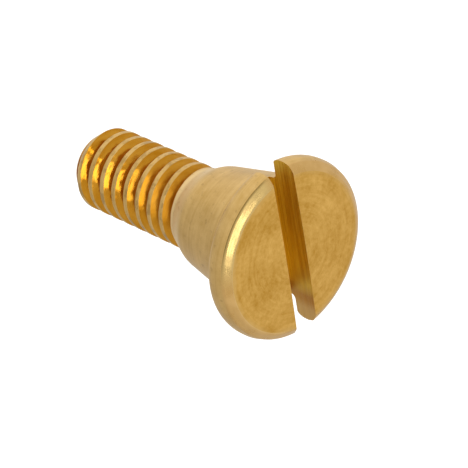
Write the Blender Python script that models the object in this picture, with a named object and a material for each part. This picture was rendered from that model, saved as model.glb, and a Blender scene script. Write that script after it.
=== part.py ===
"""Slotted shoulder screw, turned from brass bar in one piece.

The screw's axis is the X axis. The origin is the centre of the bearing face, the
underside of the head. +X points out of the slotted face, -X to the threaded tip,
and the screwdriver slot runs along Z.
"""

import math

import bmesh
import bpy
from mathutils import Vector

MM = 0.001

# Driving dimensions
HEAD_DIAMETER = 13.4 * MM
UNDER_HEAD_LENGTH = 18.6 * MM        # bearing face to the tip
SHOULDER_LENGTH = 7.4 * MM
THREAD_MAJOR_DIAMETER = 6.25 * MM    # 1/4-20 UNC, within its tolerance
THREAD_PITCH = 1.27 * MM

# Head: a barrel-shaped rim between a rounded rear edge and a chamfered front edge
HEAD_RADIUS = HEAD_DIAMETER / 2
RIM_FULL_WIDTH = 0.30 * MM           # length of the rim at its full diameter
RIM_FRONT = 1.46 * MM                # bearing face to the start of the chamfer
RIM_FRONT_DROP = 0.10 * MM           # the rim is this much smaller in radius there
RIM_FRONT_RADIUS = HEAD_RADIUS - RIM_FRONT_DROP
REAR_ROUND_RADIAL = 0.42 * MM
REAR_ROUND_AXIAL = 0.80 * MM
FACE_CHAMFER_RADIAL = 0.66 * MM
FACE_CHAMFER_AXIAL = 0.48 * MM
CHAMFER_BULGE = 0.06 * MM            # the chamfer is flat, with slightly rounded borders
DOME_RISE = 0.10 * MM
FACE_TOP = RIM_FRONT + FACE_CHAMFER_AXIAL + DOME_RISE

# Tapered shoulder, thin end first
SHOULDER_THIN_RADIUS = 3.86 * MM
SHOULDER_BEARING_RADIUS = 4.98 * MM
SHOULDER_LEAD_IN = 1.40 * MM         # length of the chamfer from the thread to the taper
UNDERCUT_FILLET = 0.35 * MM          # blend between the shoulder and the bearing face

# Thread
CREST_RADIUS = THREAD_MAJOR_DIAMETER / 2
FLANK_HALF_ANGLE = math.radians(30)
CREST_FLAT = 0.30 * THREAD_PITCH
ROOT_FLAT = 0.18 * THREAD_PITCH
THREAD_DEPTH = (THREAD_PITCH - CREST_FLAT - ROOT_FLAT) / 2 / math.tan(FLANK_HALF_ANGLE)
THREAD_PHASE = math.radians(40)      # where the groove meets the tip
TIP_CHAMFER_AXIAL = 1.00 * MM
TIP_CHAMFER_RADIAL = 0.72 * MM

# Screwdriver slot
SLOT_WIDTH = 1.9 * MM
SLOT_FLOOR = -0.7 * MM               # on the axis from the bearing face: it reaches the shoulder

SEGMENTS = 48                        # around the axis
ROUND_STEPS = 3                      # along the rim's rear edge
CHAMFER_STEPS = 3                    # along the rim's front edge
DOME_STEPS = 4                       # from the chamfer to the centre of the face


def rear_edge_round():
    """Points (x, r) along the elliptical round from the bearing face to the rim."""
    points = []
    for step in range(ROUND_STEPS + 1):
        angle = math.pi / 2 * step / ROUND_STEPS
        x = REAR_ROUND_AXIAL * (1 - math.cos(angle))
        points.append((x, HEAD_RADIUS - REAR_ROUND_RADIAL * (1 - math.sin(angle))))
    return points


def face_chamfer():
    """Points (x, r) along the chamfer from the rim to the face, rounded at its borders."""
    points = []
    for step in range(CHAMFER_STEPS + 1):
        along = step / CHAMFER_STEPS
        bulge = CHAMFER_BULGE * (1 - (2 * along - 1) ** 4)
        x = RIM_FRONT + FACE_CHAMFER_AXIAL * along + bulge
        points.append((x, RIM_FRONT_RADIUS - FACE_CHAMFER_RADIAL * along + bulge))
    return points


def face_dome():
    """Points (x, r) over the face, from inside the chamfer to its centre, along one shallow arc."""
    rim_radius = RIM_FRONT_RADIUS - FACE_CHAMFER_RADIAL
    sphere = (rim_radius ** 2 + DOME_RISE ** 2) / (2 * DOME_RISE)
    points = []
    for step in range(1, DOME_STEPS + 1):
        radius = rim_radius * (1 - step / DOME_STEPS)
        drop = sphere - math.sqrt(sphere ** 2 - radius ** 2)
        points.append((FACE_TOP - drop, radius))
    return points


def turned_profile():
    """The outline (x, r) that the lathe leaves, from the centre of the tip to that of the face."""
    tip_x = -UNDER_HEAD_LENGTH
    shoulder_x = -SHOULDER_LENGTH
    taper_x = shoulder_x + SHOULDER_LEAD_IN
    points = [
        (tip_x, 0),
        (tip_x, CREST_RADIUS - TIP_CHAMFER_RADIAL),
        (tip_x + TIP_CHAMFER_AXIAL, CREST_RADIUS),
        (shoulder_x, CREST_RADIUS),
        (taper_x, SHOULDER_THIN_RADIUS),
        (-UNDERCUT_FILLET, SHOULDER_BEARING_RADIUS),
        (0, SHOULDER_BEARING_RADIUS + UNDERCUT_FILLET),
    ]
    points += rear_edge_round()
    points.append((REAR_ROUND_AXIAL + RIM_FULL_WIDTH, HEAD_RADIUS))
    points += face_chamfer()
    points += face_dome()
    return points


def ring(radius, x):
    """Points round the axis at one place along it."""
    points = []
    for index in range(SEGMENTS):
        angle = 2 * math.pi * index / SEGMENTS
        points.append(Vector((x, radius * math.cos(angle), radius * math.sin(angle))))
    return points


def bridge(bm, first, second):
    """Faces between two closed rings of vertices, or between a ring and one end point."""
    count = max(len(first), len(second))
    for index in range(count):
        following = (index + 1) % count
        if len(first) == 1:
            bm.faces.new((first[0], second[following], second[index]))
        elif len(second) == 1:
            bm.faces.new((first[index], first[following], second[0]))
        else:
            bm.faces.new((first[index], first[following], second[following], second[index]))


def mesh_object(name, bm):
    """Turn a closed bmesh into a named object with its faces pointing out."""
    bmesh.ops.recalc_face_normals(bm, faces=bm.faces)
    mesh = bpy.data.meshes.new(name)
    bm.to_mesh(mesh)
    bm.free()
    obj = bpy.data.objects.new(name, mesh)
    bpy.context.scene.collection.objects.link(obj)
    return obj


def turned_body(name):
    """The turned outline swept round the axis."""
    bm = bmesh.new()
    rings = []
    for x, radius in turned_profile():
        if radius < 1e-9:
            rings.append([bm.verts.new((x, 0, 0))])
        else:
            rings.append([bm.verts.new(point) for point in ring(radius, x)])
    for first, second in zip(rings, rings[1:]):
        bridge(bm, first, second)
    return mesh_object(name, bm)


def groove_section(x, angle, lift):
    """The cutter's section across the groove: root flat inside, wide mouth outside the bar.

    lift moves the section away from the axis, which is how the groove runs out."""
    root_radius = CREST_RADIUS - THREAD_DEPTH + lift
    mouth_radius = CREST_RADIUS + 0.25 * THREAD_DEPTH + lift
    groove_width = THREAD_PITCH - CREST_FLAT
    flank = (groove_width - ROOT_FLAT) / 2 / THREAD_DEPTH
    mouth_half = ROOT_FLAT / 2 + flank * (mouth_radius - root_radius)
    across = [
        (-mouth_half, mouth_radius),
        (-ROOT_FLAT / 2, root_radius),
        (ROOT_FLAT / 2, root_radius),
        (mouth_half, mouth_radius),
    ]
    return [Vector((x + shift, r * math.cos(angle), r * math.sin(angle))) for shift, r in across]


def groove_cutter():
    """The thread's groove: one right-hand helix from beyond the tip to the shoulder's foot."""
    start_x = -UNDER_HEAD_LENGTH - THREAD_PITCH
    end_x = -SHOULDER_LENGTH
    turns = (end_x - start_x) / THREAD_PITCH
    steps = round(turns * SEGMENTS)
    run_out_steps = SEGMENTS // 3
    bm = bmesh.new()
    sections = []
    for step in range(steps + 1):
        x = start_x + THREAD_PITCH * step / SEGMENTS
        # half a segment off the body's own edges, so that no two faces lie on each other
        angle = THREAD_PHASE + 2 * math.pi * (step + 0.5) / SEGMENTS
        lift = THREAD_DEPTH * max(0, 1 - (steps - step) / run_out_steps)
        sections.append([bm.verts.new(point) for point in groove_section(x, angle, lift)])
    for first, second in zip(sections, sections[1:]):
        bridge(bm, first, second)
    bm.faces.new(sections[0])
    bm.faces.new(reversed(sections[-1]))
    return mesh_object("thread_groove_cutter", bm)


def slot_cutter():
    """The screwdriver slot: a straight channel along Z, open at both ends and at the face."""
    clear = 1.0 * MM
    low = Vector((SLOT_FLOOR, -SLOT_WIDTH / 2, -HEAD_RADIUS - clear))
    high = Vector((FACE_TOP + clear, SLOT_WIDTH / 2, HEAD_RADIUS + clear))
    bm = bmesh.new()
    bmesh.ops.create_cube(bm, size=1.0)
    bmesh.ops.scale(bm, vec=high - low, verts=bm.verts)
    bmesh.ops.translate(bm, vec=(low + high) / 2, verts=bm.verts)
    return mesh_object("slot_cutter", bm)


def cut(body, cutter):
    """Take the cutter's shape away from the body, and keep the cutter as a guide."""
    cutter.hide_render = True
    cutter.display_type = "WIRE"
    cutter.hide_viewport = False
    modifier = body.modifiers.new(cutter.name, "BOOLEAN")
    modifier.operation = "DIFFERENCE"
    modifier.solver = "EXACT"
    modifier.object = cutter


def brass():
    """Bare turned brass."""
    material = bpy.data.materials.new("turned_brass")
    material.use_nodes = True
    shader = material.node_tree.nodes["Principled BSDF"]
    shader.inputs["Base Color"].default_value = (0.60, 0.39, 0.13, 1)
    shader.inputs["Metallic"].default_value = 1.0
    shader.inputs["Roughness"].default_value = 0.34
    return material


def main():
    for obj in list(bpy.data.objects):
        bpy.data.objects.remove(obj)
    screw = turned_body("shoulder_screw")
    cut(screw, groove_cutter())
    cut(screw, slot_cutter())
    screw.data.materials.append(brass())
    screw.data.shade_smooth()
    screw.data.set_sharp_from_angle(angle=math.radians(35))


main()
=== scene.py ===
"""The looks of the slotted brass shoulder screw: a finely cut mesh in place of the
plain CAD body, with turned, milled and threaded brass surfaces, in soft studio light."""

import math

import bmesh
import bpy
from mathutils import Matrix, Vector, noise


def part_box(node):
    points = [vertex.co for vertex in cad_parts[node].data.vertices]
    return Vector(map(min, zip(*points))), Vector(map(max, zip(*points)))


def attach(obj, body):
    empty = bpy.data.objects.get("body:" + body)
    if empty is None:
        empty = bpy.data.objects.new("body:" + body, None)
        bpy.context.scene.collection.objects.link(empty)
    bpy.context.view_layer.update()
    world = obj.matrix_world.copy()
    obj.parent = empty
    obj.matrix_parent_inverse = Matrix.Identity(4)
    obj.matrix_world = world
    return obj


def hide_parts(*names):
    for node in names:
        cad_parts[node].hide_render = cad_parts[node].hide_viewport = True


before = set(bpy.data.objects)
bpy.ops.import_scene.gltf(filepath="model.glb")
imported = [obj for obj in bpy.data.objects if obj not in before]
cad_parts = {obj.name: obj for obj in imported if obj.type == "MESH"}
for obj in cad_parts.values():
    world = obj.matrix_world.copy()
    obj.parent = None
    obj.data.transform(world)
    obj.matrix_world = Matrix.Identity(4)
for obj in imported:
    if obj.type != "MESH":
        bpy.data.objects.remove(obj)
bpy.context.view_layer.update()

MM = 0.001
NODE = "shoulder_screw"

# Sizes that the CAD box gives: the axis is X, with the bearing face at x = 0
LOW, HIGH = (Vector(corner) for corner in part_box(NODE))
TIP_X = LOW.x
FACE_TOP = HIGH.x
HEAD_RADIUS = HIGH.y

# Sizes that repeat the design's own
SHOULDER_X = -7.4 * MM               # thin end of the shoulder
SHOULDER_LEAD_IN = 1.40 * MM
TAPER_X = SHOULDER_X + SHOULDER_LEAD_IN
SHOULDER_THIN_RADIUS = 3.86 * MM
SHOULDER_BEARING_RADIUS = 4.98 * MM
UNDERCUT_FILLET = 0.35 * MM
REAR_ROUND_AXIAL = 0.80 * MM
REAR_ROUND_RADIAL = 0.42 * MM
RIM_FULL_WIDTH = 0.30 * MM
RIM_FRONT = 1.46 * MM
RIM_FRONT_RADIUS = HEAD_RADIUS - 0.10 * MM
CHAMFER_RADIAL = 0.66 * MM
CHAMFER_AXIAL = 0.48 * MM
CHAMFER_BULGE = 0.06 * MM
DOME_RISE = 0.10 * MM
FACE_RADIUS = RIM_FRONT_RADIUS - CHAMFER_RADIAL
CREST_RADIUS = 3.125 * MM
PITCH = 1.27 * MM
FLANK_HALF_ANGLE = math.radians(33)
CREST_FLAT = 0.30 * PITCH
CREST_ROUND = 0.08 * MM
ROOT_ROUND = 0.12 * MM
THREAD_DEPTH = 0.62 * MM
TIP_CHAMFER_AXIAL = 1.00 * MM
TIP_CHAMFER_RADIAL = 0.72 * MM
THREAD_PHASE = math.radians(40)
SLOT_WIDTH = 1.9 * MM
SLOT_FLOOR = -0.7 * MM

# Small unevenness of the real surfaces, and how softly the lead-in blends at its two ends
GROOVE_WOBBLE = 0.030 * MM
FEED_RIDGE = 0.006 * MM
LEAD_IN_START = SHOULDER_X - 0.15 * MM
LEAD_IN_END = TAPER_X + 0.5 * MM
LEAD_IN_TOP_BLEND = 0.10 * MM
LEAD_IN_FOOT_BLEND = 0.03 * MM

SEGMENTS = 192                       # round the axis
TIP_STEPS = 6                        # across the tip's face, and again over its chamfer
LEAD_IN_STEPS = 12
TAPER_STEPS = 24
FILLET_STEPS = 6
REAR_ROUND_STEPS = 10
CHAMFER_STEPS = 12                   # across the chamfer of the face
DOME_STEPS = 40
CREST_STEPS = 4                      # over the crest's edge
ROOT_STEPS = 4                       # from the flank to the middle of the root
SHARP_ANGLE = math.radians(28)       # edges above this keep a crisp line
RING_SCALE = 1500                    # of the noise that is stretched into rings and lines


# ---------------------------------------------------------------- turned body

def straight(first, last, count):
    """Points on a straight line between two profile points, without the first one."""
    return [tuple(a + (b - a) * step / count for a, b in zip(first, last))
            for step in range(1, count + 1)]


def satin_profile():
    """The outline (x, r) from the centre of the tip to the front of the rim."""
    points = [(TIP_X, 0.0)]
    points += straight(points[-1], (TIP_X, CREST_RADIUS - TIP_CHAMFER_RADIAL), TIP_STEPS)
    points += straight(points[-1], (TIP_X + TIP_CHAMFER_AXIAL, CREST_RADIUS), TIP_STEPS)
    points.append((LEAD_IN_START, CREST_RADIUS))
    # the lead-in runs up to the taper in one soft curve
    for step in range(1, LEAD_IN_STEPS + 1):
        x = LEAD_IN_START + (LEAD_IN_END - LEAD_IN_START) * step / LEAD_IN_STEPS
        points.append((x, lead_in_radius(x)))
    points += straight(points[-1], (-UNDERCUT_FILLET, SHOULDER_BEARING_RADIUS), TAPER_STEPS)
    for step in range(1, FILLET_STEPS + 1):
        angle = math.pi / 2 * step / FILLET_STEPS
        points.append((-UNDERCUT_FILLET * (1 - math.sin(angle)),
                       SHOULDER_BEARING_RADIUS + UNDERCUT_FILLET * (1 - math.cos(angle))))
    points += straight(points[-1], (0.0, HEAD_RADIUS - REAR_ROUND_RADIAL), 4)
    for step in range(1, REAR_ROUND_STEPS + 1):
        angle = math.pi / 2 * step / REAR_ROUND_STEPS
        points.append((REAR_ROUND_AXIAL * (1 - math.cos(angle)),
                       HEAD_RADIUS - REAR_ROUND_RADIAL * (1 - math.sin(angle))))
    points += straight(points[-1], (REAR_ROUND_AXIAL + RIM_FULL_WIDTH, HEAD_RADIUS), 2)
    points += straight(points[-1], (RIM_FRONT, RIM_FRONT_RADIUS), 3)
    return points


def soft_minimum(a, b, blend):
    """The smaller of two values, with a rounded corner where they cross."""
    return 0.5 * (a + b - math.sqrt((a - b) ** 2 + blend ** 2))


def lead_in_radius(x):
    """Radius at x of the steep lead-in, blended into the crests' line and into the taper."""
    slope = (SHOULDER_BEARING_RADIUS - SHOULDER_THIN_RADIUS) / (-UNDERCUT_FILLET - TAPER_X)
    taper = SHOULDER_THIN_RADIUS + slope * (x - TAPER_X)
    climb = (SHOULDER_THIN_RADIUS - CREST_RADIUS) / SHOULDER_LEAD_IN
    ramp = CREST_RADIUS + climb * (x - SHOULDER_X)
    upper = soft_minimum(taper, ramp, LEAD_IN_TOP_BLEND)
    return -soft_minimum(-upper, -CREST_RADIUS, LEAD_IN_FOOT_BLEND)


def face_profile():
    """The outline (x, r) from the front of the rim over the chamfer and the dome."""
    points = [(RIM_FRONT, RIM_FRONT_RADIUS)]
    for step in range(1, CHAMFER_STEPS + 1):
        along = step / CHAMFER_STEPS
        bulge = CHAMFER_BULGE * (1 - (2 * along - 1) ** 4)
        points.append((RIM_FRONT + CHAMFER_AXIAL * along + bulge,
                       RIM_FRONT_RADIUS - CHAMFER_RADIAL * along + bulge))
    sphere = (FACE_RADIUS ** 2 + DOME_RISE ** 2) / (2 * DOME_RISE)
    for step in range(1, DOME_STEPS + 1):
        radius = FACE_RADIUS * (1 - step / DOME_STEPS)
        drop = sphere - math.sqrt(sphere ** 2 - radius ** 2)
        points.append((RIM_FRONT + CHAMFER_AXIAL + DOME_RISE - drop, radius))
    return points


def ring_vertices(bm, x, radius):
    """A ring of vertices round the axis, or a single one where the profile meets the axis."""
    if radius < 1e-9:
        return [bm.verts.new((x, 0, 0))]
    step = 2 * math.pi / SEGMENTS
    return [bm.verts.new((x, radius * math.cos(step * i), radius * math.sin(step * i)))
            for i in range(SEGMENTS)]


def bridge(bm, first, second, material):
    """Faces between two rings of vertices, or from a ring to a single vertex."""
    count = max(len(first), len(second))
    for index in range(count):
        following = (index + 1) % count
        if len(first) == 1:
            corners = (first[0], second[following], second[index])
        elif len(second) == 1:
            corners = (first[index], first[following], second[0])
        else:
            corners = (first[index], first[following], second[following], second[index])
        bm.faces.new(corners).material_index = material


def mesh_object(name, bm, materials):
    """Put the finished bmesh in the scene as an object with these materials."""
    bmesh.ops.recalc_face_normals(bm, faces=bm.faces)
    mesh = bpy.data.meshes.new(name)
    bm.to_mesh(mesh)
    bm.free()
    for material in materials:
        mesh.materials.append(material)
    obj = bpy.data.objects.new(name, mesh)
    bpy.context.scene.collection.objects.link(obj)
    return obj


def turned_body(satin, chamfer, face):
    """The screw before its groove and slot are cut, as rings of vertices round the axis."""
    bm = bmesh.new()
    front = face_profile()[1:]
    # the third value is the material of the faces before the point: satin, chamfer or face
    profile = [(x, r, 0) for x, r in satin_profile()]
    profile += [(x, r, 1) for x, r in front[:CHAMFER_STEPS]]
    profile += [(x, r, 2) for x, r in front[CHAMFER_STEPS:]]
    rings = [ring_vertices(bm, x, r) for x, r, _ in profile]
    for index in range(len(rings) - 1):
        bridge(bm, rings[index], rings[index + 1], profile[index + 1][2])
    return mesh_object("shoulder_screw_fine", bm, [satin, chamfer, face])


# ---------------------------------------------------------------- cutters

def groove_section(x, angle, lift, wobble):
    """The groove's outline: rounded root, straight flanks, and crest edges broken a little."""
    half_mouth = (PITCH - CREST_FLAT) / 2 + wobble
    crest = CREST_RADIUS + lift
    root = crest - THREAD_DEPTH
    tilt = math.pi / 2 - FLANK_HALF_ANGLE
    # the cutter's top outside the metal, then the round over the crest's edge, and the root's
    # round, with the straight flank between the two
    centre = half_mouth + CREST_ROUND * math.tan(tilt / 2)
    outline = [(half_mouth + 0.13 * MM, crest + 0.30 * MM)]
    outline.append((centre + 0.02 * MM, crest + 0.02 * MM))
    for step in range(CREST_STEPS + 1):
        turn = tilt * step / CREST_STEPS
        outline.append((centre - CREST_ROUND * math.sin(turn),
                        crest - CREST_ROUND * (1 - math.cos(turn))))
    for step in range(ROOT_STEPS + 1):
        turn = tilt * (1 - step / ROOT_STEPS)
        outline.append((ROOT_ROUND * math.sin(turn), root + ROOT_ROUND * (1 - math.cos(turn))))
    mirrored = [(-across, r) for across, r in reversed(outline[:-1])]
    return [Vector((x - across, r * math.cos(angle), r * math.sin(angle)))
            for across, r in outline + mirrored]


def groove_cutter(material):
    """The helical groove, from one pitch outside the tip to the foot of the shoulder. Over the
    last third of a turn it climbs out of the metal."""
    start_x = TIP_X - PITCH
    steps = round((SHOULDER_X - start_x) / PITCH * SEGMENTS)
    run_out = SEGMENTS // 3
    bm = bmesh.new()
    sections = []
    for step in range(steps + 1):
        x = start_x + PITCH * step / SEGMENTS
        angle = THREAD_PHASE + 2 * math.pi * (step + 0.5) / SEGMENTS
        lift = THREAD_DEPTH * max(0, 1 - (steps - step) / run_out)
        wobble = GROOVE_WOBBLE * noise.noise((step * 0.17, 3.7, 0.0))
        sections.append([bm.verts.new(p) for p in groove_section(x, angle, lift, wobble)])
    for first, second in zip(sections, sections[1:]):
        bridge(bm, first, second, 0)
    bm.faces.new(sections[0])
    bm.faces.new(reversed(sections[-1]))
    return mesh_object("thread_groove_cutter", bm, [material])


def slot_cutter(material):
    """The slot's channel. Its walls carry the cutter's feed lines as shallow real ridges."""
    reach = HEAD_RADIUS + 0.5 * MM
    top = FACE_TOP + 0.4 * MM
    levels = 30
    stations = 40
    walls = []
    for level in range(levels + 1):
        x = SLOT_FLOOR + (top - SLOT_FLOOR) * level / levels
        ridge = FEED_RIDGE * noise.noise((level * 0.9, 1.3, 0.0))
        walls.append((x, SLOT_WIDTH / 2 + ridge))
    outline = walls + [(x, -y) for x, y in reversed(walls)]
    bm = bmesh.new()
    rings = []
    for station in range(stations + 1):
        z = -reach + 2 * reach * station / stations
        rings.append([bm.verts.new((x, y, z)) for x, y in outline])
    for first, second in zip(rings, rings[1:]):
        bridge(bm, first, second, 0)
    bm.faces.new(rings[0])
    bm.faces.new(reversed(rings[-1]))
    return mesh_object("slot_cutter", bm, [material])


def cut(body, cutter):
    """Subtract the cutter, keeping its material on the faces it makes."""
    modifier = body.modifiers.new(cutter.name, "BOOLEAN")
    modifier.operation = "DIFFERENCE"
    modifier.solver = "EXACT"
    modifier.material_mode = "TRANSFER"
    modifier.object = cutter
    depsgraph = bpy.context.evaluated_depsgraph_get()
    mesh = bpy.data.meshes.new_from_object(body.evaluated_get(depsgraph))
    body.modifiers.clear()
    body.data = mesh
    bpy.data.objects.remove(cutter)


# ---------------------------------------------------------------- materials

class Shader:
    """A small helper that adds and wires the nodes of one material."""

    def __init__(self, name, colour, roughness):
        self.material = bpy.data.materials.new(name)
        self.material.use_nodes = True
        self.tree = self.material.node_tree
        self.principled = self.tree.nodes["Principled BSDF"]
        self.principled.inputs["Metallic"].default_value = 1.0
        self.principled.inputs["Base Color"].default_value = (*colour, 1)
        self.principled.inputs["Roughness"].default_value = roughness
        self.position = self.node("ShaderNodeTexCoord").outputs["Object"]
        axes = self.node("ShaderNodeSeparateXYZ", Vector=self.position)
        self.x, self.y, self.z = axes.outputs

    def node(self, kind, settings=None, **inputs):
        """Add a node. Inputs are values or sockets, with _ for a space in a socket's name."""
        made = self.tree.nodes.new(kind)
        for name, value in (settings or {}).items():
            setattr(made, name, value)
        for name, value in inputs.items():
            self.feed(made.inputs[name.replace("_", " ")], value)
        return made

    def feed(self, socket, value):
        """Link the value to the socket if it is a socket too, and set it otherwise."""
        if isinstance(value, bpy.types.NodeSocket):
            self.tree.links.new(value, socket)
        else:
            socket.default_value = value

    def math(self, operation, *values):
        made = self.node("ShaderNodeMath", {"operation": operation})
        for socket, value in zip(made.inputs, values):
            self.feed(socket, value)
        return made.outputs[0]

    def combine(self, x, y, z):
        return self.node("ShaderNodeCombineXYZ", X=x, Y=y, Z=z).outputs[0]

    def radius(self):
        """Distance from the screw's axis."""
        return self.math("SQRT", self.math("ADD", self.math("MULTIPLY", self.y, self.y),
                                           self.math("MULTIPLY", self.z, self.z)))

    def angle(self):
        """Angle round the screw's axis."""
        return self.math("ARCTAN2", self.z, self.y)

    def along_rings(self, across, density, arc):
        """Coordinates that stretch a texture into rings: across is x or the radius."""
        return self.combine(self.math("MULTIPLY", across, density),
                            self.math("MULTIPLY", self.math("COSINE", self.angle()), arc),
                            self.math("MULTIPLY", self.math("SINE", self.angle()), arc))

    def noise(self, vector, scale, detail, roughness):
        made = self.node("ShaderNodeTexNoise", Vector=vector)
        made.inputs["Scale"].default_value = scale
        made.inputs["Detail"].default_value = detail
        made.inputs["Roughness"].default_value = roughness
        return made.outputs["Fac"]

    def ramp(self, value, low, high, from_low=0.3, from_high=0.7):
        """Map from_low..from_high to low..high, held at both ends."""
        made = self.node("ShaderNodeMapRange", Value=value)
        made.inputs["From Min"].default_value = from_low
        made.inputs["From Max"].default_value = from_high
        made.inputs["To Min"].default_value = low
        made.inputs["To Max"].default_value = high
        return made.outputs[0]

    def mix(self, factor, first, second):
        made = self.node("ShaderNodeMix", {"data_type": "RGBA"})
        self.feed(made.inputs[0], factor)
        for socket, value in ((made.inputs[6], first), (made.inputs[7], second)):
            self.feed(socket, value if isinstance(value, bpy.types.NodeSocket) else (*value, 1))
        return made.outputs[2]

    def bump(self, height, depth):
        made = self.node("ShaderNodeBump", Height=height)
        made.inputs["Distance"].default_value = depth
        made.inputs["Strength"].default_value = 1.0
        self.feed(self.principled.inputs["Normal"], made.outputs[0])

    def colour(self, socket):
        self.feed(self.principled.inputs["Base Color"], socket)

    def roughness(self, socket):
        self.feed(self.principled.inputs["Roughness"], socket)


def satin_brass():
    """Crests, shoulder, rim and tip: pale satin brass with fine rings round the axis."""
    s = Shader("satin_turned_brass", (0.57, 0.37, 0.125), 0.42)
    fine = s.noise(s.along_rings(s.x, 3.2, 0.00035), RING_SCALE, 4, 0.7)
    broad = s.noise(s.along_rings(s.x, 0.9, 0.0002), RING_SCALE, 2, 0.5)
    cloud = s.noise(s.position, 760, 5, 0.7)
    grain = s.noise(s.position, 5200, 3, 0.65)
    tone = s.math("ADD", s.math("MULTIPLY", fine, 0.32), s.math("MULTIPLY", cloud, 0.54))
    tone = s.math("ADD", tone, s.math("MULTIPLY", broad, 0.14))
    plain = s.mix(s.ramp(tone, 0, 1, 0.38, 0.62), (0.485, 0.30, 0.088), (0.64, 0.43, 0.165))
    # the lead-in is paler, and small dark pits lie everywhere
    lead_in = s.math("MULTIPLY", s.ramp(s.x, 0, 1, SHOULDER_X - 0.5 * MM, SHOULDER_X - 0.2 * MM),
                     s.ramp(s.x, 0.9, 0, SHOULDER_X + 0.9 * MM, SHOULDER_X + 1.7 * MM))
    toned = s.mix(lead_in, plain, (0.70, 0.51, 0.25))
    pits = s.ramp(s.noise(s.position, 2600, 2, 0.5), 0, 0.32, 0.62, 0.74)
    # the crests of the thread carry more and larger brown flecks than the shoulder
    patchy = s.noise(s.along_rings(s.x, 1.4, 0.0024), RING_SCALE, 3, 0.6)
    flecks = s.math("MULTIPLY", s.ramp(patchy, 0, 0.50, 0.51, 0.60),
                    s.ramp(s.x, 1, 0, SHOULDER_X - 0.5 * MM, SHOULDER_X - 0.3 * MM))
    s.colour(s.mix(s.math("MAXIMUM", pits, flecks), toned, (0.26, 0.15, 0.045)))
    s.roughness(s.ramp(cloud, 0.36, 0.48))
    height = s.math("ADD", fine, s.math("MULTIPLY", grain, 0.5))
    s.bump(s.math("SUBTRACT", height, pits), 0.014 * MM)
    return s.material


def chamfer_brass():
    """The chamfer round the face: cut smoother and brighter, with sharp ring marks."""
    s = Shader("chamfer_brass", (0.57, 0.36, 0.12), 0.24)
    rings = s.noise(s.along_rings(s.radius(), 4.0, 0.0006), RING_SCALE, 3, 0.6)
    cloud = s.noise(s.position, 700, 3, 0.6)
    plain = s.mix(s.ramp(cloud, 0, 1), (0.49, 0.29, 0.088), (0.61, 0.39, 0.148))
    # on one half of the face, where the light falls, painted shade darkens the outer border above
    # the middle, a painted highlight makes the chamfer paler there, and a painted highlight
    # brightens its inner border
    half = s.ramp(s.y, 1, 0, -1.6 * MM, -0.9 * MM)
    # painted shade along the outer border
    dark = s.math("MULTIPLY", s.ramp(s.x, 0.85, 0, RIM_FRONT + 0.02 * MM, RIM_FRONT + 0.16 * MM),
                  s.math("MULTIPLY", half, s.ramp(s.z, 0, 1, 1.4 * MM, 3.4 * MM)))
    # painted highlight along the inner border
    inner_border_highlight = s.math("MULTIPLY", s.ramp(s.radius(), 0.5, 0, FACE_RADIUS, FACE_RADIUS + 0.09 * MM),
                  s.math("MULTIPLY", half, s.ramp(cloud, 0.2, 1)))
    # painted highlight: the chamfer paler where the light falls
    paler = s.math("MULTIPLY", half, s.ramp(s.z, 0, 0.8, 0.2 * MM, 2.2 * MM))
    bordered = s.mix(dark, s.mix(paler, plain, (0.55, 0.395, 0.150)), (0.17, 0.10, 0.02))
    s.colour(s.mix(inner_border_highlight, bordered, (0.74, 0.54, 0.24)))
    s.roughness(s.ramp(cloud, 0.20, 0.42, 0.35, 0.65))
    s.bump(s.math("ADD", rings, s.math("MULTIPLY", cloud, 0.8)), 0.050 * MM)
    return s.material


def face_brass():
    """The faced end: golden, with faint concentric tool rings and cloudy patches."""
    s = Shader("faced_brass", (0.55, 0.31, 0.065), 0.38)
    radius = s.radius()
    rings = s.noise(s.along_rings(radius, 2.4, 0.0011), RING_SCALE, 4, 0.65)
    cloud = s.noise(s.position, 430, 4, 0.6)
    grain = s.noise(s.position, 3200, 3, 0.7)
    tone = s.math("ADD", s.math("MULTIPLY", rings, 0.30), s.math("MULTIPLY", cloud, 0.38))
    tone = s.math("ADD", tone, s.math("MULTIPLY", grain, 0.32))
    golden = s.mix(s.ramp(tone, 0, 1, 0.38, 0.62), (0.445, 0.228, 0.028), (0.655, 0.395, 0.100))
    # the gold gives way to the chamfer's paler tone in an uneven border
    edge = s.math("ADD", radius, s.math("MULTIPLY", cloud, 1.2 * MM))
    border = s.ramp(edge, 0, 0.8, FACE_RADIUS + 0.25 * MM, FACE_RADIUS + 0.75 * MM)
    s.colour(s.mix(border, golden, (0.575, 0.365, 0.115)))
    s.roughness(s.ramp(cloud, 0.33, 0.43))
    s.bump(s.math("ADD", rings, s.math("MULTIPLY", grain, 0.8)), 0.012 * MM)
    return s.material


def groove_brass():
    """The thread's groove: smooth, deep-coloured brass, duller towards the shoulder."""
    s = Shader("thread_groove_brass", (0.64, 0.36, 0.06), 0.22)
    along = s.noise(s.along_rings(s.x, 2.0, 0.0009), RING_SCALE, 4, 0.65)
    s.colour(s.mix(s.ramp(along, 0, 1), (0.40, 0.160, 0.006), (0.53, 0.255, 0.026)))
    dull = s.ramp(s.x, 0, 0.24, SHOULDER_X - 7 * MM, SHOULDER_X - 1 * MM)
    s.roughness(s.math("ADD", s.ramp(along, 0.12, 0.24), dull))
    # small ripples round the axis break the highlight into drops
    ripples = s.noise(s.along_rings(s.x, 1.5, 0.0020), RING_SCALE, 1, 0.5)
    s.bump(s.math("ADD", s.math("MULTIPLY", along, 0.3), ripples), 0.09 * MM)
    return s.material


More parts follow.
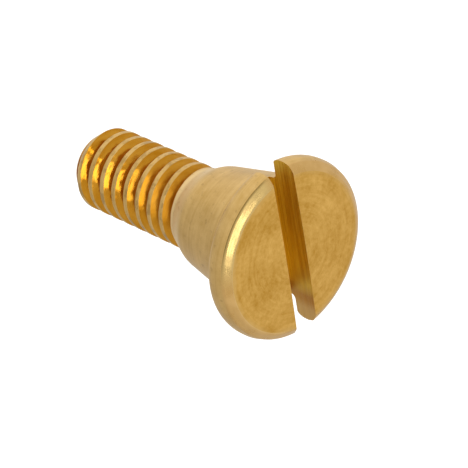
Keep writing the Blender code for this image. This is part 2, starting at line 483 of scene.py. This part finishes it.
def slot_brass():
    """The slot: milled along Z, with long straight feed lines, and painted light and shade in bands
    down its walls.
    """
    s = Shader("milled_slot_brass", (0.75, 0.50, 0.075), 0.36)
    lines = s.noise(s.combine(s.math("MULTIPLY", s.x, 3.0), s.math("MULTIPLY", s.y, 2.0),
                              s.math("MULTIPLY", s.z, 0.10)), RING_SCALE, 4, 0.65)
    lined = s.ramp(lines, 0, 1)
    # lit and shaded copies of the milled brass, for the painted light and shade down the slot
    deep = s.mix(lined, (0.57, 0.33, 0.025), (0.84, 0.60, 0.092))
    lit = s.mix(lined, (0.66, 0.40, 0.034), (0.93, 0.68, 0.095))
    dim_painted_band = s.mix(lined, (0.41, 0.182, 0.024), (0.53, 0.262, 0.045))
    pale = s.mix(lined, (0.48, 0.27, 0.075), (0.60, 0.37, 0.120))
    # painted light and shade down the walls, from the top of the slot: painted shade, lit, a dimmer
    # painted band, and painted light at the open lower end
    tone = s.mix(s.ramp(s.z, 1, 0, -2.8 * MM, 1.0 * MM), deep, lit)
    tone = s.mix(s.ramp(s.z, 1, 0, -4.5 * MM, -3.4 * MM), tone, dim_painted_band)
    s.colour(s.mix(s.ramp(s.z, 1, 0, -5.6 * MM, -4.9 * MM), tone, pale))
    s.roughness(s.ramp(lines, 0.36, 0.50))
    s.bump(lines, 0.05 * MM)
    return s.material


# ---------------------------------------------------------------- the screw

def plain_crests(mesh):
    """Give the rounded edges of the thread's crests the satin look of the crests."""
    satin = mesh.materials.find("satin_turned_brass")
    groove = mesh.materials.find("thread_groove_brass")
    lowest = CREST_RADIUS - 0.025 * MM
    highest = CREST_RADIUS + 0.01 * MM
    for face in mesh.polygons:
        height = math.hypot(face.center.y, face.center.z)
        if face.material_index == groove and lowest < height < highest:
            face.material_index = satin


def make_screw():
    body = turned_body(satin_brass(), chamfer_brass(), face_brass())
    cut(body, groove_cutter(groove_brass()))
    cut(body, slot_cutter(slot_brass()))
    plain_crests(body.data)
    body.data.shade_smooth()
    body.data.set_sharp_from_angle(angle=SHARP_ANGLE)
    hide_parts(NODE)
    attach(body, "root")


# ---------------------------------------------------------------- studio

CAMERA_AZIMUTH = math.radians(51.68)
CAMERA_ELEVATION = math.radians(32.51)
CAMERA_ROLL = math.radians(9.72)
CAMERA_DISTANCE = 241.9 * MM
CAMERA_AIM = Vector((-5.71, 0.98, -1.87)) * MM
CAMERA_LENS = 260.4
SOFTBOX_DISTANCE = 0.5
FLOOR_Z = -32 * MM


def camera_axes():
    """The camera's right, up and backward directions."""
    back = Vector((math.sin(CAMERA_AZIMUTH) * math.cos(CAMERA_ELEVATION),
                   -math.cos(CAMERA_AZIMUTH) * math.cos(CAMERA_ELEVATION),
                   math.sin(CAMERA_ELEVATION)))
    level_right = Vector((0, 0, 1)).cross(back).normalized()
    level_up = back.cross(level_right)
    up = level_up * math.cos(CAMERA_ROLL) + level_right * math.sin(CAMERA_ROLL)
    return up.cross(back), up, back


def add_camera():
    right, up, back = camera_axes()
    data = bpy.data.cameras.new("camera")
    data.lens = CAMERA_LENS
    data.sensor_width = 36
    data.clip_start = 0.01
    data.clip_end = 10
    camera = bpy.data.objects.new("camera", data)
    turn = Matrix((right, up, back)).transposed()
    camera.matrix_world = Matrix.Translation(CAMERA_AIM + back * CAMERA_DISTANCE) @ turn.to_4x4()
    bpy.context.scene.collection.objects.link(camera)
    bpy.context.scene.camera = camera


def add_softbox(name, direction, tall_axis, width, height, power):
    """A rectangular area light. Its direction from the screw and its tall axis are given as
    (right, up, towards the camera), as seen from the camera."""
    view = Matrix(camera_axes()).transposed()
    towards = (view @ Vector(direction)).normalized()
    across = (view @ Vector(tall_axis)).cross(towards).normalized()
    data = bpy.data.lights.new(name, "AREA")
    data.shape = "RECTANGLE"
    data.size = width
    data.size_y = height
    data.energy = power
    light = bpy.data.objects.new(name, data)
    turn = Matrix((across, towards.cross(across), towards)).transposed()
    light.matrix_world = Matrix.Translation(CAMERA_AIM + towards * SOFTBOX_DISTANCE) @ turn.to_4x4()
    bpy.context.scene.collection.objects.link(light)


def add_floor():
    """A plain pale floor, lit a little from within so that it stays white behind the screw, and
    kept out of the metal's reflections."""
    bm = bmesh.new()
    bmesh.ops.create_grid(bm, x_segments=8, y_segments=8, size=3.0)
    bmesh.ops.translate(bm, vec=(0, 0, FLOOR_Z), verts=bm.verts)
    material = bpy.data.materials.new("pale_floor")
    material.use_nodes = True
    shader = material.node_tree.nodes["Principled BSDF"]
    shader.inputs["Base Color"].default_value = (0.92, 0.92, 0.92, 1)
    shader.inputs["Emission Color"].default_value = (1, 1, 1, 1)
    shader.inputs["Emission Strength"].default_value = 0.2
    shader.inputs["Roughness"].default_value = 0.9
    floor = mesh_object("floor", bm, [material])
    floor.visible_glossy = False


def add_sky():
    """An even pale surround, a little darker behind and below the screw."""
    world = bpy.data.worlds.new("studio")
    world.use_nodes = True
    nodes = world.node_tree.nodes
    direction = nodes.new("ShaderNodeTexCoord")
    slope = nodes.new("ShaderNodeVectorMath")
    slope.operation = "DOT_PRODUCT"
    slope.inputs[1].default_value = (0.6, 0.3, 0.5)
    strength = nodes.new("ShaderNodeMapRange")
    strength.inputs["From Min"].default_value = -0.9
    strength.inputs["From Max"].default_value = 0.1
    strength.inputs["To Min"].default_value = 0.74
    strength.inputs["To Max"].default_value = 1.04
    background = nodes["Background"]
    background.inputs["Color"].default_value = (1.0, 0.99, 0.97, 1)
    links = world.node_tree.links
    links.new(direction.outputs["Generated"], slope.inputs[0])
    links.new(slope.outputs["Value"], strength.inputs["Value"])
    links.new(strength.outputs[0], background.inputs["Strength"])
    bpy.context.scene.world = world


def add_studio():
    add_sky()
    add_softbox("tall_softbox", direction=(0.39, -0.27, 0.88), tall_axis=(-0.34, -0.94, -0.09),
                width=0.21, height=0.38, power=0.82)
    add_softbox("top_softbox", direction=(-0.3, 1.0, -0.2), tall_axis=(1, 0, 0),
                width=0.8, height=0.8, power=0.48)
    add_floor()
    bpy.context.scene.view_settings.view_transform = "Standard"


make_screw()
add_camera()
add_studio()
